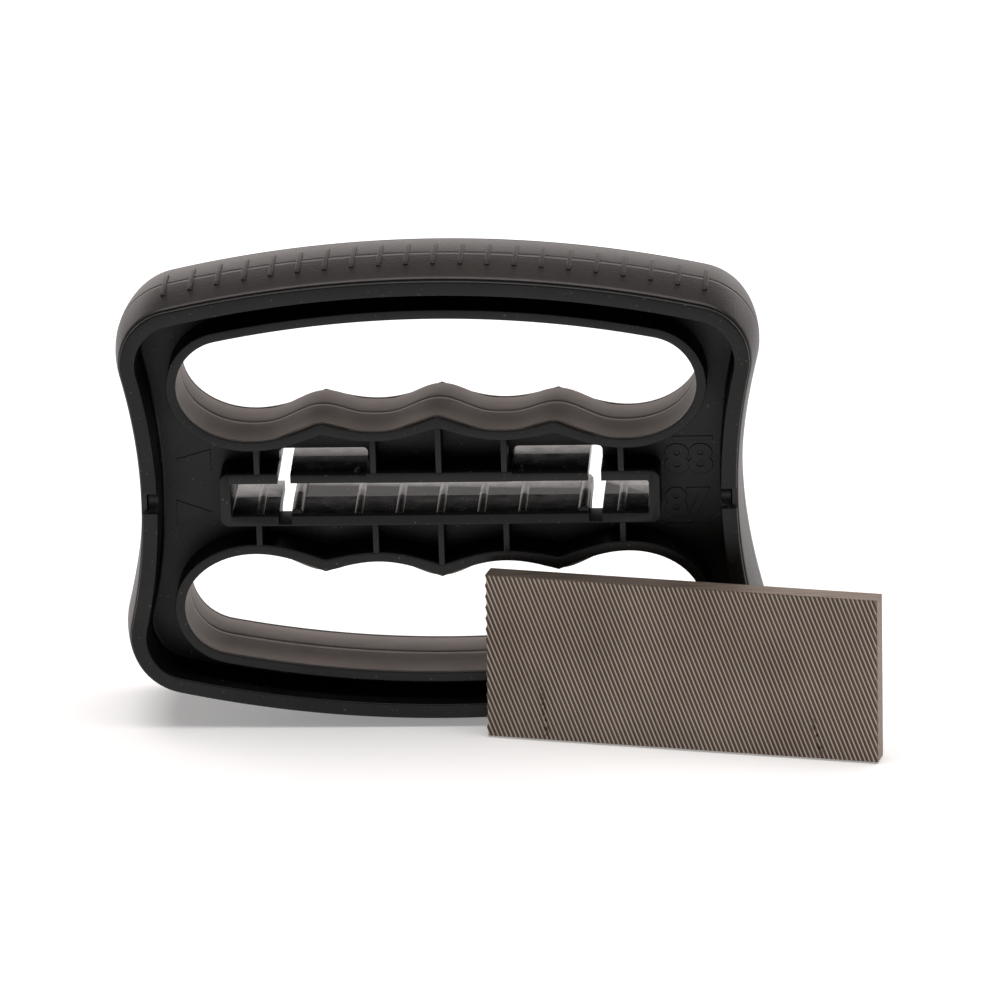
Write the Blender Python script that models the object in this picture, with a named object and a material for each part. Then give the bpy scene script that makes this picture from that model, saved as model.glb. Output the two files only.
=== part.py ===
"""Double-sided edge file guide with its loose file, in metres, +Z up, +Y away from the near face.

The guide is one hard moulding: a barrel-shaped rim wall, a flat web at mid-depth, a collar round each
finger hole and a file channel that goes right through. Soft grips line the rim's outside and both holes.
It stands on the ribs of its lower grip, and the file stands on its long edge and leans back on it.
"""

import math

import bpy
import bmesh
from mathutils import Matrix, Vector

MM = 0.001
GAP = 0.3 * MM

# Rim wall: outer outline, and how deep and thick it is
HALF_HEIGHT = 47.2 * MM
HALF_WIDTH = 59.5 * MM
LONG_SIDE_RADIUS = 238 * MM
END_RADIUS = 117 * MM
CORNER_RADIUS = 12 * MM
HALF_DEPTH = 12.0 * MM
RIM_WALL = 3.1 * MM
RIM_EDGE_ROUND = 0.4 * MM
RIM_LAND = 0.9 * MM
NOTCH_RADIUS = 2.15 * MM
NOTCH_DEPTH = 2.0 * MM

# Web and the walls that stand on it
WEB_THICKNESS = 3.2 * MM
WALL_RECESS = 2.5 * MM
COLLAR_WALL = 2.0 * MM
RIB_WIDTH = 1.25 * MM
RIB_PLACES = (13.1 * MM, 36.45 * MM)

# Finger holes: the outline of the upper one, at the collar's lip
HOLE_TOP = 38.2 * MM
HOLE_ARC_RADIUS = 217 * MM
HOLE_HALF_LENGTH = 52 * MM
HOLE_CORNER_RADIUS = 10.2 * MM
FINGER_WAVE = ((37.5 * MM, 12.1 * MM), (23.4 * MM, 16.0 * MM), (12.8 * MM, 14.0 * MM), (0, 17.3 * MM))
PEAK_THICKENING = 0.5 * MM
SEAT_BREADTH = 1.45
LIP = 0.9 * MM

# Soft grips
GRIP_SEAT = 1.2 * MM
GRIP_STEP = 0.25 * MM
BAR_CROWN = 1.5 * MM
END_CROWN = 0.7 * MM
BAR_CROWN_FROM = 30 * MM
LINER_THICKNESS = 0.9 * MM
LINER_CROWN = 0.5 * MM
GRIP_RIBS = 21
GRIP_RIB_PITCH = 5.4 * MM
GRIP_RIB_WIDTH = 0.9 * MM
GRIP_RIB_LENGTH = 11 * MM
GRIP_RIB_HEIGHT = 0.3 * MM

# File channel, with its crush ribs, and the two spring arms cut from its upper wall
CHANNEL_HALF_LENGTH = 41.9 * MM
CHANNEL_HEIGHT = 6.9 * MM
CHANNEL_MIDDLE_Z = -0.4 * MM
CHANNEL_WALL = 2.2 * MM
CHANNEL_DRAFT = 0.25 * MM
CHANNEL_OUTER_RADIUS = 1.8 * MM
CHANNEL_INNER_RADIUS = 0.5 * MM
CRUSH_RIB_PLACES = (0, 8.2 * MM, 16.4 * MM, 36.2 * MM)
CRUSH_RIB_WIDTH = 1.6 * MM
CRUSH_RIB_HEIGHT = 0.3 * MM
STOP_RIB_RADIUS = 1.2 * MM
SLOT_X = 31.1 * MM
STOP_RIB_X = SLOT_X - 2.45 * MM
SLOT_WIDTH = 2.6 * MM
SLOT_FLOOR = 1.7 * MM
SLOT_DEEP_FROM = 2.7 * MM
SLOT_DEEP_REACH = 2.4 * MM
ARM_ROOT_X = RIB_PLACES[0] + 1.5 * MM
WINDOW_HEIGHT = 2.4 * MM
WINDOW_RADIUS = 1.0 * MM

# File, and how it stands in front
FILE_LENGTH = 80.4 * MM
FILE_WIDTH = 34 * MM
FILE_THICKNESS = 4.8 * MM
FILE_CHAMFER = 0.25 * MM
FILE_TURN = math.radians(-11)
FILE_LEAN = math.radians(4.4)
FILE_LEFT_X = 9.2 * MM
FILE_STAND_OFF = 0.8 * MM


def clear_scene():
    for obj in list(bpy.data.objects):
        bpy.data.objects.remove(obj, do_unlink=True)


def material(name, colour, roughness, metallic=0.0):
    made = bpy.data.materials.new(name)
    made.use_nodes = True
    made.diffuse_color = (*colour, 1)
    shader = made.node_tree.nodes["Principled BSDF"]
    shader.inputs["Base Color"].default_value = (*colour, 1)
    shader.inputs["Roughness"].default_value = roughness
    shader.inputs["Metallic"].default_value = metallic
    return made


# --- Outlines: lists of (x, z), in order round the shape ---


def arc(centre, radius, start, end, steps):
    """Points on a circle from angle start to end, in degrees, ends included."""
    angles = [math.radians(start + (end - start) * i / steps) for i in range(steps + 1)]
    return [(centre[0] + radius * math.cos(a), centre[1] + radius * math.sin(a)) for a in angles]


def without_repeats(points):
    kept = [p for i, p in enumerate(points) if math.dist(p, points[i - 1]) > 0.001 * MM]
    return kept


def four_fold(quarter):
    """A quarter outline, from the right-hand end to the top middle, turned into the whole outline."""
    half = quarter + [(-x, z) for x, z in reversed(quarter)]
    return without_repeats(half + [(x, -z) for x, z in reversed(half)])


def rim_outline():
    """Barrel shape: bowed long sides, hollow ends and round corners that touch both."""
    side_centre_z = HALF_HEIGHT - LONG_SIDE_RADIUS
    end_centre_x = HALF_WIDTH + END_RADIUS
    to_side = LONG_SIDE_RADIUS - CORNER_RADIUS
    to_end = END_RADIUS + CORNER_RADIUS
    apart = math.hypot(end_centre_x, side_centre_z)
    along = (to_side**2 - to_end**2 + apart**2) / (2 * apart)
    aside = math.sqrt(to_side**2 - along**2)
    toward = Vector((end_centre_x, -side_centre_z)) / apart
    corner = Vector((0, side_centre_z)) + toward * along + Vector((-toward.y, toward.x)) * aside
    side_lean = math.degrees(math.atan2(corner.x, corner.y - side_centre_z))
    end_lean = math.degrees(math.atan2(corner.y, end_centre_x - corner.x))
    quarter = arc((end_centre_x, 0), END_RADIUS, 180, 180 - end_lean, 6)
    quarter += arc(corner, CORNER_RADIUS, -end_lean, 90 - side_lean, 8)[1:]
    quarter += arc((0, side_centre_z), LONG_SIDE_RADIUS, 90 - side_lean, 90, 10)[1:]
    return four_fold(quarter)


def blunt(share):
    """Rise from a finger seat, 0, to a rounded peak, 1. The seats are broader than the peaks."""
    return ((1 - math.cos(math.pi * share)) / 2) ** SEAT_BREADTH


def sharp(share):
    """Rise from a finger seat, 0, to a sharp peak, 1, where two hollow arcs meet."""
    return 1 - math.cos(math.pi / 2 * share)


def oblong(upper, grown, wave, rise):
    """Finger-hole shape, grown outwards all round: bowed outer side, round ends and a wavy inner side."""
    arc_centre_z = HOLE_TOP - HOLE_ARC_RADIUS
    corner_x = HOLE_HALF_LENGTH - HOLE_CORNER_RADIUS
    corner_z = arc_centre_z + math.sqrt((HOLE_ARC_RADIUS - HOLE_CORNER_RADIUS) ** 2 - corner_x**2)
    lean = math.degrees(math.atan2(corner_x, corner_z - arc_centre_z))
    half = arc((0, arc_centre_z), HOLE_ARC_RADIUS + grown, 90, 90 - lean, 8)
    half += arc((corner_x, corner_z), HOLE_CORNER_RADIUS + grown, 90 - lean, 0, 6)[1:]
    lobe_x, lobe_z = wave[0]
    for x, z in arc((0, 0), 1, 0, -90, 6)[1:]:
        reach_x = HOLE_HALF_LENGTH + grown - lobe_x
        half.append((lobe_x + x * reach_x, corner_z + z * (corner_z - lobe_z)))
    for i, ((x0, z0), (x1, z1)) in enumerate(zip(wave, wave[1:])):
        for step in range(1, 7):
            share = step / 6
            up = rise(share) if i % 2 == 0 else 1 - rise(1 - share)
            half.append((x0 + (x1 - x0) * share, z0 + (z1 - z0) * up))
    whole = without_repeats(half + [(-x, z) for x, z in reversed(half)])
    return whole if upper else [(x, -z) for x, z in reversed(whole)]


def hole_outline(upper):
    """The collar's lip round a finger hole."""
    return oblong(upper, 0, FINGER_WAVE, sharp)


def liner_outline(upper):
    """The soft lining of a finger hole, whose peaks are rounder than the lip's."""
    return oblong(upper, 0, FINGER_WAVE, blunt)


def collar_outline(upper):
    """Outside of a finger hole's collar, where the backs of the finger seats meet in sharp peaks."""
    wave = [(x, z - COLLAR_WALL - PEAK_THICKENING * (i % 2)) for i, (x, z) in enumerate(FINGER_WAVE)]
    return oblong(upper, COLLAR_WALL, wave, sharp)


def round_rectangle(low, high, radius, steps=3):
    (x0, z0), (x1, z1) = low, high
    points = []
    for x, z, start in (
        (x1 - radius, z1 - radius, 0),
        (x0 + radius, z1 - radius, 90),
        (x0 + radius, z0 + radius, 180),
        (x1 - radius, z0 + radius, 270),
    ):
        points += arc((x, z), radius, start, start + 90, steps)
    return without_repeats(points)


def rectangle(low, high):
    (x0, z0), (x1, z1) = low, high
    return [(x1, z1), (x0, z1), (x0, z0), (x1, z0)]


def signed_area(points):
    return sum(a[0] * b[1] - b[0] * a[1] for a, b in zip(points, points[1:] + points[:1])) / 2


def offset(points, distance):
    """The outline moved outwards by distance: one for all, or one for each point. Inwards is negative."""
    side = 1 if signed_area(points) > 0 else -1
    distances = distance if isinstance(distance, list) else [distance] * len(points)
    moved = []
    for i, (x, z) in enumerate(points):
        before = Vector((x, z)) - Vector(points[i - 1])
        after = Vector(points[(i + 1) % len(points)]) - Vector((x, z))
        normals = [Vector((d.y, -d.x)).normalized() * side for d in (before, after)]
        bisector = (normals[0] + normals[1]).normalized()
        reach = distances[i] / max(bisector.dot(normals[0]), 0.5)
        moved.append((x + bisector.x * reach, z + bisector.y * reach))
    return moved


# --- Solids ---


def finish_mesh(name, mesh, parent=None, look=None):
    bmesh.ops.recalc_face_normals(mesh, faces=mesh.faces)
    data = bpy.data.meshes.new(name)
    mesh.to_mesh(data)
    mesh.free()
    obj = bpy.data.objects.new(name, data)
    bpy.context.scene.collection.objects.link(obj)
    obj.parent = parent
    if look:
        data.materials.append(look)
        data.shade_smooth()
        data.set_sharp_from_angle(angle=math.radians(35))
    return obj


def add_loft(mesh, sections):
    """Adds a closed solid through rings of equally many points, one for each (y, outline)."""
    rings = [[mesh.verts.new((x, y, z)) for x, z in outline] for y, outline in sections]
    for near, far in zip(rings, rings[1:]):
        for i in range(len(near)):
            mesh.faces.new((near[i - 1], near[i], far[i], far[i - 1]))
    mesh.faces.new(rings[0])
    mesh.faces.new(list(reversed(rings[-1])))


def loft(name, sections, parent=None, look=None):
    mesh = bmesh.new()
    add_loft(mesh, sections)
    return finish_mesh(name, mesh, parent, look)


def prism(name, outline, half_depth):
    return loft(name, [(-half_depth, outline), (half_depth, outline)])


def prisms(name, outlines, half_depth):
    """Several prisms that don't touch, in one object."""
    mesh = bmesh.new()
    for outline in outlines:
        add_loft(mesh, [(-half_depth, outline), (half_depth, outline)])
    return finish_mesh(name, mesh)


def band(name, outline, profile, parent, look):
    """A closed ring round an outline, through a profile of (distance out from the outline, y)."""
    mesh = bmesh.new()
    rings = [[mesh.verts.new((x, y, z)) for x, z in offset(outline, out)] for out, y in profile]
    for ring, following in zip(rings, rings[1:] + rings[:1]):
        for i in range(len(ring)):
            mesh.faces.new((ring[i - 1], ring[i], following[i], following[i - 1]))
    return finish_mesh(name, mesh, parent, look)


def combine(target, operand, operation):
    operand.hide_render = True
    operand.display_type = "WIRE"
    operand.parent = target.parent
    modifier = target.modifiers.new(operand.name, "BOOLEAN")
    modifier.operation = operation
    modifier.object = operand


def add(target, operand):
    combine(target, operand, "UNION")


def cut(target, operand):
    combine(target, operand, "DIFFERENCE")


# --- The pieces ---

WALL_HALF_DEPTH = HALF_DEPTH - WALL_RECESS
CHANNEL_TOP = CHANNEL_MIDDLE_Z + CHANNEL_HEIGHT / 2
CHANNEL_BOTTOM = CHANNEL_MIDDLE_Z - CHANNEL_HEIGHT / 2
BEAM_TOP = CHANNEL_TOP + CHANNEL_WALL
SLOT_IN = SLOT_X - SLOT_WIDTH / 2
SLOT_OUT = SLOT_X + SLOT_WIDTH / 2
LINER_HALF_DEPTH = WALL_HALF_DEPTH - LIP
GRIP_HALF_DEPTH = HALF_DEPTH - RIM_LAND
RIB_TOP = HALF_HEIGHT + BAR_CROWN + GRIP_RIB_HEIGHT


def crowned(edge, crown, half_depth, steps=8):
    """Profile points (out, y) that rise from edge by crown at mid-depth, along a parabola."""
    places = [-1 + 2 * i / steps for i in range(steps + 1)]
    return [(edge + crown * (1 - p * p), half_depth * p) for p in places]


def guide_shell(parent, look):
    """The rim wall with its seat for the outer grip, before the pockets are cut."""
    outline = rim_outline()
    seat = offset(outline, -GRIP_SEAT)
    round_off = offset(outline, -RIM_EDGE_ROUND)
    far = [
        (GRIP_HALF_DEPTH, seat),
        (GRIP_HALF_DEPTH, outline),
        (HALF_DEPTH - RIM_EDGE_ROUND, outline),
        (HALF_DEPTH, round_off),
    ]
    near = [(-y, ring) for y, ring in reversed(far)]
    return loft("guide_body", near + far, parent, look)


def cut_pockets(guide):
    """Opens both faces down to the web."""
    inside = offset(rim_outline(), -RIM_WALL)
    for name, side in (("near_pocket", -1), ("far_pocket", 1)):
        ends = (side * (HALF_DEPTH + 1 * MM), side * WEB_THICKNESS / 2)
        cut(guide, loft(name, [(y, inside) for y in ends]))


def rib_outlines(side):
    """Ribs between the channel wall and a collar, with their ends sunk into both."""
    into_wall = CHANNEL_WALL / 2
    inner = (BEAM_TOP if side > 0 else CHANNEL_BOTTOM - CHANNEL_WALL) - side * into_wall
    outlines = []
    for x in (-RIB_PLACES[1], -RIB_PLACES[0], 0, *RIB_PLACES):
        outer = side * (inner_side_of_hole(abs(x)) - COLLAR_WALL / 2)
        low_z, high_z = sorted((inner, outer))
        outlines.append(rectangle((x - RIB_WIDTH / 2, low_z), (x + RIB_WIDTH / 2, high_z)))
    return outlines


def inner_side_of_hole(x):
    """How far the finger hole's wavy side is from the middle at x."""
    side = sorted(p for p in hole_outline(True) if p[1] < FINGER_WAVE[-1][1] + COLLAR_WALL)
    stretches = zip(side, side[1:])
    (x0, z0), (x1, z1) = next((low, high) for low, high in stretches if low[0] <= x <= high[0])
    return z0 + (z1 - z0) * (x - x0) / (x1 - x0)


def add_walls(guide):
    """Collars, channel block and ribs, all flush with one another on both faces."""
    for name, upper in (("upper_collar", True), ("lower_collar", False)):
        add(guide, prism(name, collar_outline(upper), WALL_HALF_DEPTH))
    block = round_rectangle(
        (-CHANNEL_HALF_LENGTH - CHANNEL_WALL, CHANNEL_BOTTOM - CHANNEL_WALL),
        (CHANNEL_HALF_LENGTH + CHANNEL_WALL, BEAM_TOP),
        CHANNEL_OUTER_RADIUS,
    )
    add(guide, prism("channel_block", block, WALL_HALF_DEPTH))
    add(guide, prisms("bay_ribs", rib_outlines(1) + rib_outlines(-1), WALL_HALF_DEPTH))


def cut_finger_holes(guide):
    for name, upper in (("upper_hole", True), ("lower_hole", False)):
        hole = hole_outline(upper)
        seat = offset(hole, LINER_THICKNESS + GAP)
        seat_half_depth = LINER_HALF_DEPTH + GAP
        far = [(seat_half_depth, seat), (seat_half_depth, hole), (HALF_DEPTH, hole)]
        near = [(-y, ring) for y, ring in reversed(far)]
        cut(guide, loft(name, near + far))


def cut_channel(guide):
    """The through channel, a little wider at both faces than at mid-depth."""
    mouth = round_rectangle(
        (-CHANNEL_HALF_LENGTH, CHANNEL_BOTTOM), (CHANNEL_HALF_LENGTH, CHANNEL_TOP), CHANNEL_INNER_RADIUS
    )
    waist = offset(mouth, -CHANNEL_DRAFT)
    cut(guide, loft("channel", [(-HALF_DEPTH, mouth), (0, waist), (HALF_DEPTH, mouth)]))


def cut_arm_room(guide):
    """Takes out the upper wall where the arms are, the windows in the web beside them and both slots."""
    window_top = BEAM_TOP + WINDOW_HEIGHT
    for name, side in (("left_arm_room", -1), ("right_arm_room", 1)):
        low_x, high_x = sorted((side * ARM_ROOT_X, side * SLOT_OUT))
        room = round_rectangle((low_x, CHANNEL_MIDDLE_Z), (high_x, window_top), WINDOW_RADIUS)
        cut(guide, prism(name, room, HALF_DEPTH))
    for name, side in (("left_slot", -1), ("right_slot", 1)):
        low_x, high_x = sorted((side * SLOT_IN, side * SLOT_OUT))
        shallow = rectangle((low_x, CHANNEL_BOTTOM - SLOT_FLOOR), (high_x, CHANNEL_MIDDLE_Z))
        deep = rectangle((low_x, CHANNEL_BOTTOM - CHANNEL_WALL - SLOT_DEEP_REACH), (high_x, CHANNEL_MIDDLE_Z))
        cut(guide, prism(name, shallow, HALF_DEPTH))
        cut(guide, loft(name + "_deep", [(-SLOT_DEEP_FROM, deep), (HALF_DEPTH, deep)]))


def bump(x, z, radius):
    return arc((x, z), radius, 0, 330, 11)


def crush_rib(x, wall_z, side):
    """A low round bump that stands CRUSH_RIB_HEIGHT off a channel wall; side is which way the wall faces."""
    radius = (CRUSH_RIB_WIDTH**2 / 4 + CRUSH_RIB_HEIGHT**2) / (2 * CRUSH_RIB_HEIGHT)
    centre = wall_z + side * (CRUSH_RIB_HEIGHT - radius)
    lean = math.degrees(math.asin(CRUSH_RIB_WIDTH / 2 / radius))
    crest = arc((x, centre), radius, 90 - lean, 90 + lean, 4)
    if side < 0:
        crest = [(px, 2 * centre - pz) for px, pz in crest]
    buried = wall_z - side * CHANNEL_WALL / 4
    return [*crest, (crest[-1][0], buried), (crest[0][0], buried)]


def on_arm(x):
    return ARM_ROOT_X < abs(x) < SLOT_IN


def add_channel_ribs(guide):
    places = sorted({side * x for x in CRUSH_RIB_PLACES for side in (-1, 1)})
    lower_wall = CHANNEL_BOTTOM + CHANNEL_DRAFT
    upper_wall = CHANNEL_TOP - CHANNEL_DRAFT
    outlines = [crush_rib(x, lower_wall, 1) for x in places]
    outlines += [crush_rib(x, upper_wall, -1) for x in places if not on_arm(x)]
    outlines += [bump(side * STOP_RIB_X, lower_wall, STOP_RIB_RADIUS) for side in (-1, 1)]
    add(guide, prisms("channel_ribs", outlines, WALL_HALF_DEPTH - LIP))


def cut_rim_notches(guide):
    """Half-round index notches across the rim, at mid-height, on both ends and both faces."""
    for name, x in (("left_notch", -HALF_WIDTH), ("right_notch", HALF_WIDTH)):
        for face, y in (("near", -HALF_DEPTH), ("far", HALF_DEPTH)):
            bpy.ops.mesh.primitive_cylinder_add(vertices=16, radius=NOTCH_RADIUS, depth=4 * RIM_WALL)
            notch = bpy.context.object
            notch.name = f"{name}_{face}"
            notch.data.transform(Matrix.Rotation(math.radians(90), 4, "Y"))
            notch.location = (x, y, 0)
            notch.scale = (1, NOTCH_DEPTH / NOTCH_RADIUS, 1)
            cut(guide, notch)


def make_guide(parent, look):
    guide = guide_shell(parent, look)
    cut_pockets(guide)
    add_walls(guide)
    cut_finger_holes(guide)
    cut_channel(guide)
    cut_arm_room(guide)
    add_channel_ribs(guide)
    cut_rim_notches(guide)
    return guide


def make_arm(name, side, parent, look):
    """One spring arm of the channel's upper wall. Its origin is on its bending line, at its root."""
    pivot = Vector((side * (ARM_ROOT_X + GAP / 2), 0, (CHANNEL_TOP + BEAM_TOP) / 2))
    inner, outer = side * (ARM_ROOT_X + GAP), side * SLOT_IN
    low_x, high_x = sorted((inner, outer))
    sections = []
    for y, draft in ((-WALL_HALF_DEPTH, 0), (0, CHANNEL_DRAFT), (WALL_HALF_DEPTH, 0)):
        sections.append((y, rectangle((low_x, CHANNEL_TOP - draft), (high_x, BEAM_TOP))))
    arm = loft(name, sections, parent, look)
    for x in CRUSH_RIB_PLACES:
        if on_arm(x):
            rib = crush_rib(side * x, CHANNEL_TOP - CHANNEL_DRAFT, -1)
            rib_solid = prism(f"{name}_crush_rib", rib, WALL_HALF_DEPTH - LIP)
            rib_solid.data.transform(Matrix.Translation(-pivot))
            rib_solid.location = pivot
            add(arm, rib_solid)
    arm.data.transform(Matrix.Translation(-pivot))
    arm.location = pivot
    return arm


def grip_rib_outline(x, side):
    """Stadium seen from above, as (x, y): one raised rib of the outer grip."""
    radius = GRIP_RIB_WIDTH / 2
    reach = GRIP_RIB_LENGTH / 2 - radius
    ends = arc((x, reach), radius, 0, 180, 2) + arc((x, -reach), radius, 180, 360, 2)
    return ends if side > 0 else list(reversed(ends))


def crown_height(point):
    """How far the outer grip stands out at mid-depth: more along the bars than at the hollow ends."""
    share = min(abs(point[1]) / BAR_CROWN_FROM, 1)
    return END_CROWN + (BAR_CROWN - END_CROWN) * share * share * (3 - 2 * share)


def make_outer_grip(parent, look):
    """Soft band moulded round the rim, crowned across its depth, with raised ribs along both bars."""
    outline = rim_outline()
    seat = GAP - GRIP_SEAT
    half_depth = GRIP_HALF_DEPTH - GAP
    profile = [([GRIP_STEP + (crown_height(p) - GRIP_STEP) * rise for p in outline], y)
               for rise, y in crowned(0, 1, half_depth, 6)]
    profile += [(seat, half_depth), (seat, -half_depth)]
    grip = band("outer_grip", outline, profile, parent, look)
    mesh = bmesh.new()
    for side in (-1, 1):
        for i in range(GRIP_RIBS):
            x = (i - (GRIP_RIBS - 1) / 2) * GRIP_RIB_PITCH
            fall = LONG_SIDE_RADIUS - math.sqrt(LONG_SIDE_RADIUS**2 - x**2)
            top = RIB_TOP - fall
            levels = (HALF_HEIGHT - GRIP_SEAT / 2 - fall, top)
            around = grip_rib_outline(x, side)
            rings = [[mesh.verts.new((px, py, side * z)) for px, py in around] for z in levels]
            for j in range(len(rings[0])):
                mesh.faces.new((rings[0][j - 1], rings[0][j], rings[1][j], rings[1][j - 1]))
            mesh.faces.new(rings[1])
            mesh.faces.new(list(reversed(rings[0])))
    add(grip, finish_mesh("grip_ribs", mesh))
    return grip


def make_liner(name, upper, parent, look):
    """Soft lining of one finger hole, crowned towards the fingers."""
    crown = [(-out, y) for out, y in crowned(0, LINER_CROWN, LINER_HALF_DEPTH, 4)]
    profile = crown + [(LINER_THICKNESS, LINER_HALF_DEPTH), (LINER_THICKNESS, -LINER_HALF_DEPTH)]
    return band(name, liner_outline(upper), profile, parent, look)


def make_file(parent, look):
    """Flat file on its long edge, leaning back. Its origin is its lower left corner at the back."""
    outline = rectangle((0, 0), (FILE_LENGTH, FILE_WIDTH))
    inner = offset(outline, -FILE_CHAMFER)
    faces = (-FILE_THICKNESS, -FILE_THICKNESS + FILE_CHAMFER, -FILE_CHAMFER, 0)
    blade = loft("file_blade", list(zip(faces, (inner, outline, outline, inner))), parent, look)
    blade.location = (FILE_LEFT_X, -HALF_DEPTH - FILE_STAND_OFF, -RIB_TOP)
    blade.rotation_euler = (-FILE_LEAN, 0, FILE_TURN)
    return blade


def stand_on_origin(root):
    """Moves the whole so that the middle of its base is at the origin."""
    bpy.context.view_layer.update()
    graph = bpy.context.evaluated_depsgraph_get()
    corners = []
    for obj in root.children:
        if not obj.hide_render:
            shape = obj.evaluated_get(graph)
            corners += [shape.matrix_world @ v.co for v in shape.data.vertices]
    low = Vector([min(c[i] for c in corners) for i in range(3)])
    high = Vector([max(c[i] for c in corners) for i in range(3)])
    root.location = (-(low.x + high.x) / 2, -(low.y + high.y) / 2, -low.z)


def main():
    clear_scene()
    hard = material("satin_black_plastic", (0.012, 0.012, 0.013), 0.38)
    soft = material("grey_soft_rubber", (0.085, 0.075, 0.073), 0.75)
    steel = material("file_steel", (0.16, 0.135, 0.115), 0.42, 1.0)
    root = bpy.data.objects.new("root", None)
    bpy.context.scene.collection.objects.link(root)
    make_guide(root, hard)
    make_arm("left_spring_arm", -1, root, hard)
    make_arm("right_spring_arm", 1, root, hard)
    make_outer_grip(root, soft)
    make_liner("upper_finger_grip", True, root, soft)
    make_liner("lower_finger_grip", False, root, soft)
    make_file(root, steel)
    stand_on_origin(root)


main()
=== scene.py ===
import math

import bmesh
import bpy
from mathutils import Matrix, Vector


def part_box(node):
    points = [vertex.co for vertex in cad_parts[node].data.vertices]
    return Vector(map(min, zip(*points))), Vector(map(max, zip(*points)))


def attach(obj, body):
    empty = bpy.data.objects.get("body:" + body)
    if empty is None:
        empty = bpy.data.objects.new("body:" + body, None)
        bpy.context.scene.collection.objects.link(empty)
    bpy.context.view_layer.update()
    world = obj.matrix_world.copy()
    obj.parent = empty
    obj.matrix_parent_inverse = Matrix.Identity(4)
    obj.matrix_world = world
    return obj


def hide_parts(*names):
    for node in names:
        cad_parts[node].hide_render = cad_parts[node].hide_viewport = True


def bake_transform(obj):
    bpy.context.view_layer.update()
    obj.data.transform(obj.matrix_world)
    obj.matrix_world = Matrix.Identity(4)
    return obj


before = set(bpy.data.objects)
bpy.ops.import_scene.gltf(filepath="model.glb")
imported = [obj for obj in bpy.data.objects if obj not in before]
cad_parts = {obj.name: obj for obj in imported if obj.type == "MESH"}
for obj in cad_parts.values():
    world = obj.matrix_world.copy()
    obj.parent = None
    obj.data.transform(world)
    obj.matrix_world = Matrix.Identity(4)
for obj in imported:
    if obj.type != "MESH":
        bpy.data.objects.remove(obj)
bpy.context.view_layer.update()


# ---- Camera -------------------------------------------------------------------------------
# A long lens, three metres from the middle of the guide, a little to its right and well above
# it. It is rolled by two degrees, so the guide leans slightly in the picture.

MM = 0.001
guide_low, guide_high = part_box("guide_body")
guide_centre = (guide_low + guide_high) / 2

camera_turn = math.radians(3.859)
camera_rise = math.radians(22.4)
camera_roll = math.radians(2.04)
camera_distance = 3.0
camera_shift_right = 0.01156
camera_shift_down = 0.00427
lens_length = 538.9

back = Vector(
    (
        math.sin(camera_turn) * math.cos(camera_rise),
        -math.cos(camera_turn) * math.cos(camera_rise),
        math.sin(camera_rise),
    )
)
level = Vector((math.cos(camera_turn), math.sin(camera_turn), 0))
upright = back.cross(level)
camera_right = level * math.cos(camera_roll) - upright * math.sin(camera_roll)
camera_up = level * math.sin(camera_roll) + upright * math.cos(camera_roll)
camera_place = guide_centre + back * camera_distance
camera_place += camera_right * camera_shift_right - camera_up * camera_shift_down

bpy.ops.object.camera_add()
camera = bpy.context.active_object
camera.name = "camera"
facing = Matrix((camera_right, camera_up, back)).transposed().to_4x4()
camera.matrix_world = Matrix.Translation(camera_place) @ facing
camera.data.lens = lens_length
camera.data.sensor_width = 36
camera.data.clip_start = 0.1
camera.data.clip_end = 20
bpy.context.scene.camera = camera


# ---- Room ---------------------------------------------------------------------------------
# A faintly lit white acrylic table in a dim room, with a broad soft box overhead and a low, wide
# one behind the table. Faces that look up and away are bright, and those at the front stay dark.

def linear(colour):
    """The linear red, green, blue and alpha of an sRGB colour such as #26a0ff."""
    shares = [int(colour[place : place + 2], 16) / 255 for place in (1, 3, 5)]
    return (*(s / 12.92 if s <= 0.04045 else ((s + 0.055) / 1.055) ** 2.4 for s in shares), 1.0)


def add_node(material, kind, sockets=None, **settings):
    """Adds a shader node, and gives its sockets their values or the outputs that feed them."""
    made = material.node_tree.nodes.new(kind)
    for name, value in settings.items():
        setattr(made, name, value)
    for name, value in (sockets or {}).items():
        if isinstance(value, bpy.types.NodeSocket):
            material.node_tree.links.new(value, made.inputs[name])
        else:
            made.inputs[name].default_value = value
    return made


def new_material(name):
    """An empty node material, with its output node."""
    material = bpy.data.materials.new(name)
    material.use_nodes = True
    material.node_tree.nodes.clear()
    return material, material.node_tree.nodes.new("ShaderNodeOutputMaterial")


bpy.context.scene.view_settings.view_transform = "Standard"

bpy.ops.mesh.primitive_plane_add(size=8)
table = bpy.context.active_object
table.name = "table_top"
light_table, surface = new_material("white_acrylic_light_table")
acrylic = add_node(
    light_table,
    "ShaderNodeBsdfPrincipled",
    {
        "Base Color": linear("#f6f6f6"),
        "Roughness": 0.6,
        "Specular IOR Level": 0.2,
        "Emission Color": linear("#ffffff"),
        "Emission Strength": 0.25,
    },
)
light_table.node_tree.links.new(acrylic.outputs[0], surface.inputs["Surface"])
table.data.materials.append(light_table)

room = bpy.data.worlds.new("pale_room")
bpy.context.scene.world = room
room.use_nodes = True
room.node_tree.nodes["Background"].inputs["Color"].default_value = linear("#ffffff")
room.node_tree.nodes["Background"].inputs["Strength"].default_value = 0.14

bpy.ops.object.light_add(type="AREA", location=(0, 0.1, 1.3), rotation=(math.radians(-4), 0, 0))
overhead_box = bpy.context.active_object
overhead_box.name = "overhead_soft_box"
overhead_box.data.shape = "RECTANGLE"
overhead_box.data.size = 1.6
overhead_box.data.size_y = 0.9
overhead_box.data.energy = 21
overhead_box.data.color = (1.0, 0.96, 0.945)

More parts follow.
